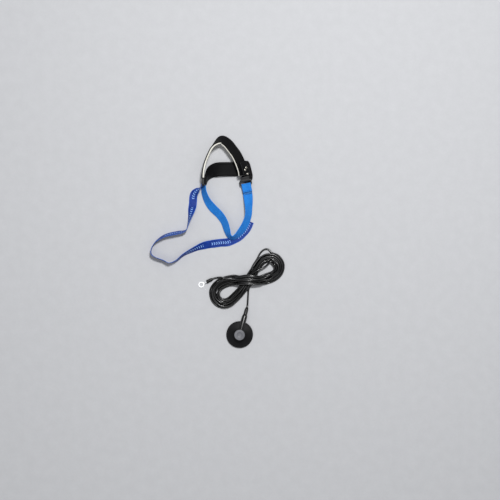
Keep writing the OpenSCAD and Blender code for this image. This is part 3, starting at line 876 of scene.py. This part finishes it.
sleeve = np.array([[1.5, 9.0], [2.15, 9.0], [2.4, 9.15], [2.5, 9.5], [2.5, 11.6], [2.42, 12.2],
                   [2.42, 15.6], [2.3, 16.6], [2.1, 17.6], [1.95, 18.4], [1.7, 18.6],
                   [1.3, 18.6]]) * MM
terminal_sleeve = skin("terminal_sleeve_shrunk", "root", "sleeve_black", ["terminal_sleeve"],
                       turned(sleeve, EYE_AT + BARREL_Z * np.array(UP), eye_x, 40))

# %% [markdown]
# ## Stitches
#
# Thread shows where the patch, the webbing and the tail are sewn. Each stitch is a short
# bead of thread that rises from one hole and goes down the next, so a row is one small
# rounded shape repeated along a line.

# %% Rows of stitches
STITCH_PITCH, STITCH_LENGTH, THREAD_R = 2.7 * MM, 2.0 * MM, 0.28 * MM
BEAD_RINGS, BEAD_AROUND = 7, 8


def stitch_row(name, places, ahead, out, body, slot):
    """Each bead is an ellipsoid: its long axis is ahead and its two short ones are out and
    the way across them both. All are one mesh."""
    lat, lon = np.meshgrid(np.linspace(0.15, np.pi - 0.15, BEAD_RINGS), circle(BEAD_AROUND),
                           indexing="ij")
    bead = np.stack([np.cos(lat) * STITCH_LENGTH / 2, np.sin(lat) * np.cos(lon) * THREAD_R,
                     np.sin(lat) * np.sin(lon) * THREAD_R], -1).reshape(-1, 3)
    axes = np.stack([ahead, np.cross(out, ahead), out], 1)
    points = places[:, None] + np.einsum("pk,nkc->npc", bead, axes)
    index = np.arange(len(bead)).reshape(BEAD_RINGS, BEAD_AROUND)
    quads = np.stack([index[:-1], np.roll(index[:-1], -1, 1), np.roll(index[1:], -1, 1),
                      index[1:]], -1).reshape(-1, 4).tolist()
    template = quads + [index[0][::-1].tolist(), index[-1].tolist()]
    faces = [[corner + len(bead) * n for corner in face]
             for n in range(len(places)) for face in template]
    mesh = bpy.data.meshes.new(name)
    mesh.from_pydata(points.reshape(-1, 3).tolist(), [], faces)
    mesh.shade_smooth()
    add_piece(name, mesh, body, slot)
    print(name, "has", len(places), "stitches")


def on_strip(line, along, u, v):
    """Where the distance along, across u and out v are on a strip, with its directions."""
    centre, across, out = (read_along(along, line["along"], line[key])
                           for key in ("centre", "across", "out"))
    return centre + u * across + v * out, unit(np.cross(across, out)), out


for edge, u in (("inner", 3.7 * MM), ("outer", -8.7 * MM)):
    along = np.arange(2 * MM, patch_end - 1 * MM, STITCH_PITCH)
    stitch_row(f"patch_stitches_{edge}", *on_strip(heel_line, along, u, PATCH_TOP),
               "root", "webbing_black")

tail_x = np.arange(-5.4, 5.5, STITCH_PITCH / MM) * MM
tail_row = np.column_stack([tail_x, np.full(len(tail_x), -TAIL_LEN + 1.6 * MM),
                            np.full(len(tail_x), FOLD_R + 0.05 * MM)])
# the bar's own x and z directions, once for each stitch
ahead, out = (np.repeat(at_bar(np.array([way])) - BAR_AT, len(tail_x), 0)
              for way in ([1.0, 0, 0], [0, 0, 1.0]))
stitch_row("tail_stitches", at_bar(tail_row), ahead, out, "tail", "elastic_blue")

# %% [markdown]
# ## Materials
#
# Each finish starts from the real one and its size. A woven tape is two sets of threads
# that cross, so its height is the sum of two waves. A moulding has the grain of its mould,
# which is noise at the grain's size. Patterns finer than the camera can show are drawn a
# little coarser, so that the surface still looks like cloth or rubber from above.

# %% Colours and nodes
def linear(colour):
    """sRGB to linear, for each channel c: c / 12.92 up to 0.04045, else
    ((c + 0.055) / 1.055) ^ 2.4."""
    part = [int(colour[i:i + 2], 16) / 255 for i in (1, 3, 5)]
    return (*[c / 12.92 if c <= 0.04045 else ((c + 0.055) / 1.055) ** 2.4 for c in part], 1)


def new_material(name, **surface):
    """A material whose shader's sockets are set straight from the words given."""
    material = bpy.data.materials.new(name)
    material.use_nodes = True
    shader = material.node_tree.nodes["Principled BSDF"]
    for key, value in surface.items():
        shader.inputs[key.replace("_", " ")].default_value = value
    return material


def add(material, kind, inputs, stops=(), output=0, to=None, **settings):
    """Adds a node, with its settings and its colour stops (place, colour). Each input is a
    value or a link. Returns one output, which may also be linked to a socket."""
    tree = material.node_tree
    node = tree.nodes.new("ShaderNode" + kind)
    for name, value in settings.items():
        setattr(node, name, value)
    while stops and len(node.color_ramp.elements) < len(stops):
        node.color_ramp.elements.new(0.5)
    for number, (place, colour) in enumerate(stops):
        node.color_ramp.elements[number].position = place
        node.color_ramp.elements[number].color = linear(colour)
    for key, value in inputs.items():
        if isinstance(value, bpy.types.NodeSocket):
            tree.links.new(value, node.inputs[key])
        else:
            node.inputs[key].default_value = value
    if to:
        tree.links.new(node.outputs[output], to)
    return node.outputs[output]


def surfaced(material, shade, stops, height=None, depth=0.0, gloss=None):
    """Colours the surface by the shade, through the stops. A height of 0 to 1 raises it by
    the depth, and gloss is a value, its low and high, and the roughness at each of them."""
    sockets = material.node_tree.nodes["Principled BSDF"].inputs
    add(material, "ValToRGB", {"Fac": shade}, stops, to=sockets["Base Color"])
    if height:
        add(material, "Bump", {"Height": height, "Distance": depth}, to=sockets["Normal"])
    if gloss:
        add(material, "MapRange", dict(enumerate(gloss)), to=sockets["Roughness"])


# %% Woven and knitted tapes
# a band texture repeats every 2 pi / (20 x scale), so its scale is this over the spacing
BAND = 2 * np.pi / 20
DYE_PATCH = 9 * MM


def woven(name, stops, rib, pick, depth, pick_share=0.45, **surface):
    """Warp ribs run along the tape and weft picks cross it: height = ribs x (1 - share) +
    picks x share. The colour follows that height, which paints shade in the dips and a
    highlight on the raised threads, made a little darker or lighter at random in patches of about
    9 mm."""
    material = new_material(name, **surface)
    run = add(material, "UVMap", {}, uv_map="run")
    ribs = add(material, "TexWave", {"Vector": run, "Scale": BAND / rib}, output="Fac",
               bands_direction="Y")
    picks = add(material, "TexWave", {"Vector": run, "Scale": BAND / pick, "Distortion": 0.6,
                "Detail": 1.0}, output="Fac", bands_direction="X")
    picks = add(material, "Math", {0: picks, 1: pick_share}, operation="MULTIPLY")
    crossing = add(material, "Math", {0: ribs, 1: 1 - pick_share, 2: picks},
                   operation="MULTIPLY_ADD")
    patches = add(material, "TexNoise", {"Vector": run, "Scale": 1 / DYE_PATCH, "Detail": 3.0})
    patches = add(material, "Math", {0: patches, 1: 0.5, 2: -0.25}, operation="MULTIPLY_ADD")
    shade = add(material, "Math", {0: crossing, 1: patches}, operation="ADD")
    # painted shade in the dips of the weave and painted highlight on its raised threads
    surfaced(material, shade, stops, crossing, depth)
    return material


# The instep elastic: polyester over rubber cores, which gives soft ribs along it. Their tops
# are painted lighter as highlight and the gaps between them darker as shade. The ribs are drawn
# 1.3 mm apart.
knitted_elastic = woven("knitted_blue_elastic",
                        [(0.15, "#0A50A4"), (0.5, "#1478D2"), (0.9, "#3398F0")],
                        1.3 * MM, 0.9 * MM, 0.16 * MM, Roughness=0.75, Specular_IOR_Level=0.25,
                        Sheen_Weight=0.05)

# Nylon webbing in black: a coarse plain weave with a low sheen, its threads painted a little
# lighter as highlight and the dips between them darker as shade.
nylon_webbing = woven("black_nylon_webbing",
                      [(0.2, "#050506"), (0.6, "#121214"), (0.95, "#26272A")],
                      1.1 * MM, 1.1 * MM, 0.18 * MM, 0.5, Roughness=0.6, Sheen_Weight=0.15)


# %% The printed ribbon
CHEVRON_PITCH, CHEVRON_SLOPE, CHEVRON_STROKE, CHEVRON_HALF = 3.4 * MM, 0.7, 0.36, 1.9 * MM
GROUP_PITCH, GROUP_SHARE = 41 * MM, 0.72
SELVEDGE_FROM = 5.4 * MM


def printed_ribbon():
    """Satin-woven nylon with carbon thread: navy, smooth along its length and slightly
    glossy, with paler selvedges and a printed row of plain chevrons along its middle. The
    chevrons are where the fraction of (along + slope x |across|) / pitch is small, and a
    gap after each group of them is where that of along / group pitch is large."""
    # the navy is painted darker in the dips of the weave as shade and lighter on its threads as
    # highlight
    material = woven("navy_printed_ribbon",
                     [(0.15, "#02154F"), (0.5, "#062A82"), (0.9, "#144CB0")],
                     0.9 * MM, 0.6 * MM, 0.08 * MM, 0.6, Roughness=0.5, Specular_IOR_Level=0.25)
    base = material.node_tree.nodes["Principled BSDF"].inputs["Base Color"]
    run = add(material, "UVMap", {}, uv_map="run")
    along, across = (add(material, "SeparateXYZ", {"Vector": run}, output=axis) for axis in "XY")
    aside = add(material, "Math", {0: across}, operation="ABSOLUTE")
    slanted = add(material, "Math", {0: aside, 1: CHEVRON_SLOPE, 2: along},
                  operation="MULTIPLY_ADD")
    printed = add(material, "Math", {0: aside, 1: CHEVRON_HALF}, operation="LESS_THAN")
    for line, pitch, share in ((slanted, CHEVRON_PITCH, CHEVRON_STROKE),
                               (along, GROUP_PITCH, GROUP_SHARE)):
        part = add(material, "Math", {0: line, 1: pitch}, operation="DIVIDE")
        part = add(material, "Math", {0: part}, operation="FRACT")
        part = add(material, "Math", {0: part, 1: share}, operation="LESS_THAN")
        printed = add(material, "Math", {0: printed, 1: part}, operation="MULTIPLY")
    selvedge = add(material, "Math", {0: aside, 1: SELVEDGE_FROM}, operation="GREATER_THAN")
    # in a mix node for colours, input 0 is the share, 6 and 7 the colours and output 2 the mix
    edged = add(material, "Mix", {0: selvedge, 6: base.links[0].from_socket,
                7: linear("#2E62BE")}, output=2, data_type="RGBA")
    add(material, "Mix", {0: printed, 6: edged, 7: linear("#8FB8F4")}, output=2, to=base,
        data_type="RGBA")
    return material


# %% Moulded, felted and metal finishes
WORN_PATCH, SCRATCH_DEPTH = 14 * MM, 0.01 * MM


def moulded(name, colour, worn, grain, depth, **surface):
    """Noise at the mould's grain gives the relief, and slow noise mixes in a worn shade
    and changes the gloss a little, as handling does."""
    material = new_material(name, **surface)
    place = add(material, "TexCoord", {}, output="Object")
    fine = add(material, "TexNoise", {"Vector": place, "Scale": 1 / grain, "Detail": 4.0})
    slow = add(material, "TexNoise", {"Vector": place, "Scale": 1 / WORN_PATCH, "Detail": 3.0})
    slow_share = add(material, "Math", {0: slow, 1: 0.65}, operation="MULTIPLY")
    mixed = add(material, "Math", {0: fine, 1: 0.35, 2: slow_share}, operation="MULTIPLY_ADD")
    rough = surface["Roughness"]
    surfaced(material, mixed, [(0.38, colour), (0.68, worn)], fine, depth,
             (slow, 0.35, 0.65, rough - 0.05, rough + 0.08))
    return material


def metal(name, colour, dull, rough, line):
    """Tumbled or drawn metal: stretched noise gives short scratches, which also scatter
    the gloss."""
    material = new_material(name, Metallic=1.0, Roughness=rough)
    place = add(material, "TexCoord", {}, output="Object")
    stretched = add(material, "Mapping", {"Vector": place, "Scale": (1, 5, 1)})
    fine = add(material, "TexNoise", {"Vector": stretched, "Scale": 1 / line, "Detail": 3.0})
    surfaced(material, fine, [(0.35, dull), (0.65, colour)], fine, SCRATCH_DEPTH,
             (fine, 0.3, 0.7, rough + 0.12, rough - 0.05))
    return material


def pile(name, stops, pitch, depth, **surface):
    """Hooks or loops stand in rows, so each cell of a cell texture is one of them, painted
    bright in its middle as highlight and dark between as shade. The height is one less the
    distance to the middle."""
    material = new_material(name, **surface)
    place = add(material, "TexCoord", {}, output="Object")
    cells = add(material, "TexVoronoi", {"Vector": place, "Scale": 1 / pitch,
                "Randomness": 0.35})
    height = add(material, "Math", {0: 1.0, 1: cells}, operation="SUBTRACT")
    # painted highlight on each hook or loop and painted shade between them
    surfaced(material, height, stops, height, depth)
    return material


def banded_resistor():
    """A lacquered ceramic body with colour rings, here 2 mm apart along the height."""
    material = new_material("lacquered_resistor", Roughness=0.3)
    place = add(material, "TexCoord", {}, output="Object")
    rings = add(material, "TexWave", {"Vector": place, "Scale": BAND / (2 * MM)}, output="Fac",
                bands_direction="Z")
    surfaced(material, rings, [(0.1, "#5A3A1E"), (0.3, "#C9A66B")])
    return material


FINISHES = {
    # conductive rubber: black all through, with a dull, slightly dusty skin
    "rubber_black": moulded("conductive_black_rubber", "#050506", "#111113", 0.5 * MM,
                            0.08 * MM, Roughness=0.6, Specular_IOR_Level=0.1),
    # pressed felt: off-white, matt, with fibres that lift at its surface
    "lining_pale": moulded("pressed_white_felt", "#EFEDE4", "#D8D5C9", 0.6 * MM, 0.15 * MM,
                           Roughness=0.92, Sheen_Weight=0.3),
    # nickel-plated steel: warm grey and fairly bright, tumbled before it was plated
    "rivet_nickel": metal("nickel_plated_steel", "#D6D2C6", "#8E8A80", 0.28, 1.2 * MM),
    "webbing_black": nylon_webbing,
    # black-lacquered wire: smooth with small bright edges
    "ring_black": moulded("black_lacquered_wire", "#131315", "#26272A", 0.8 * MM, 0.02 * MM,
                          Roughness=0.36),
    "elastic_blue": knitted_elastic,
    # moulded nylon hooks in rows, a darker blue than the elastic
    "hook_blue": pile("nylon_hooks", [(0.2, "#0A2A56"), (0.8, "#1B569C")], 1.2 * MM,
                      0.4 * MM, Roughness=0.5),
    # brushed nylon loops: a soft mat with no clear rows
    "loop_blue": pile("nylon_loops", [(0.2, "#0E478C"), (0.85, "#3E92DF")], 0.9 * MM,
                      0.3 * MM, Roughness=0.85, Sheen_Weight=0.5),
    # glass-filled nylon: black, with a fine spark-eroded texture
    "tab_black": moulded("textured_black_nylon", "#08080A", "#161619", 0.45 * MM, 0.05 * MM,
                         Roughness=0.5),
    "resistor_body": banded_resistor(),
    "ribbon_navy": printed_ribbon(),
    # soft rubber with a fine grain, which keeps the disc from sliding
    "disc_rubber": moulded("soft_grey_rubber", "#17181B", "#26282C", 0.5 * MM, 0.06 * MM,
                           Roughness=0.7),
    # moulded vinyl: nearly black and matt, so that its rings are seen by their shade
    "disc_black": moulded("matt_black_vinyl", "#060608", "#101114", 0.55 * MM, 0.05 * MM,
                          Roughness=0.55, Specular_IOR_Level=0.18),
    # stainless pressing: cool and bright with a drawn surface
    "snap_metal": metal("pressed_stainless", "#DDDEDF", "#9FA1A3", 0.24, 0.9 * MM),
    # spring wire: a polished darker steel
    "spring_wire": metal("spring_steel_wire", "#C3C4C6", "#85878A", 0.3, 0.5 * MM),
    # satin vinyl: a little glossier than the disc, so that its grip ribs catch the light
    "plug_black": moulded("satin_black_vinyl", "#0E0E10", "#1B1C1F", 0.5 * MM, 0.04 * MM,
                          Roughness=0.42),
    # grey nylon cap: satin, a little paler where fingers press it
    "cap_grey": moulded("satin_grey_nylon", "#5C5D62", "#77787E", 0.5 * MM, 0.04 * MM,
                        Roughness=0.45),
    # soft vinyl: smooth, so that it shows a clear stripe of light
    "relief_black": moulded("soft_black_vinyl", "#060607", "#0E0E10", 0.6 * MM, 0.01 * MM,
                            Roughness=0.26),
    # extruded vinyl: smoother than a moulding, so each strand has a thin bright line
    "cord_black": moulded("extruded_black_vinyl", "#030304", "#08080A", 1.1 * MM, 0.01 * MM,
                          Roughness=0.3, Specular_IOR_Level=0.5, Coat_Weight=0.25,
                          Coat_Roughness=0.15),
    # shrunk sleeve: matt with a faint orange-peel skin
    "sleeve_black": moulded("shrunk_black_sleeve", "#070708", "#111113", 0.7 * MM, 0.04 * MM,
                            Roughness=0.5),
    # tinned copper: the brightest metal here, almost white
    "terminal_tin": metal("tinned_copper", "#FFFFFF", "#E2E4E6", 0.48, 0.8 * MM),
}

# %% Give each piece and each working part its finish
slot_of_node = {part["node"]: part["material_slot"] for part in frame["record"]["subparts"]}
for piece, slot in slot_of_piece.items():
    piece.data.materials.append(FINISHES[slot])
for name, node in frame["nodes"].items():
    if len(node.material_slots) == 0:
        node.data.materials.append(None)
    for place in node.material_slots:
        place.material = FINISHES[slot_of_node[name]]
print(len(slot_of_piece), "new pieces and", len(frame["nodes"]), "working parts have a finish")

# %% [markdown]
# ## Floor and light
#
# The floor is a plain pale grey board, six metres across: it fills the view from above, and
# its far edge just shows in a low one. One small soft light stands high towards +Y, so that
# shadows are short, fall towards -Y and have clear edges. A weaker and wider one opposite
# lifts the dark rubber. The rest is an even sky.

# %% Floor and light
FLOOR_HALF = 3.0
floor_mesh = bpy.data.meshes.new("floor")
floor_mesh.from_pydata([(x * FLOOR_HALF, y * FLOOR_HALF, 0)
                        for x, y in ((-1, -1), (1, -1), (1, 1), (-1, 1))], [], [(0, 1, 2, 3)])
floor = new_object("floor", floor_mesh)
# painted board: matt, an even pale grey
floor_mesh.materials.append(moulded("pale_grey_board", "#BDBEC1", "#C2C3C6", 3 * MM,
                                    0.01 * MM, Roughness=0.85))


def soft_light(name, place, aim, size, energy):
    """An area light at a place, turned so that it shines at the point it is aimed at."""
    data = bpy.data.lights.new(name, "AREA")
    data.shape = "DISK"
    data.size = size
    data.energy = energy
    light = new_object(name, data)
    light.location = place
    way = Vector(aim) - Vector(place)
    light.rotation_euler = way.to_track_quat("-Z", "Y").to_euler()


view_point = (*VIEW_MIDDLE, 0)
soft_light("key", (0.3, 0.68, 1.6), view_point, size=0.3, energy=27)
soft_light("fill", (-0.6, -0.9, 1.4), view_point, size=0.9, energy=3)
world = bpy.data.worlds.new("studio")
bpy.context.scene.world = world
world.use_nodes = True
sky = world.node_tree.nodes["Background"]
sky.inputs["Color"].default_value = linear("#F5F6F8")
sky.inputs["Strength"].default_value = 0.34
bpy.context.scene.view_settings.view_transform = "Standard"
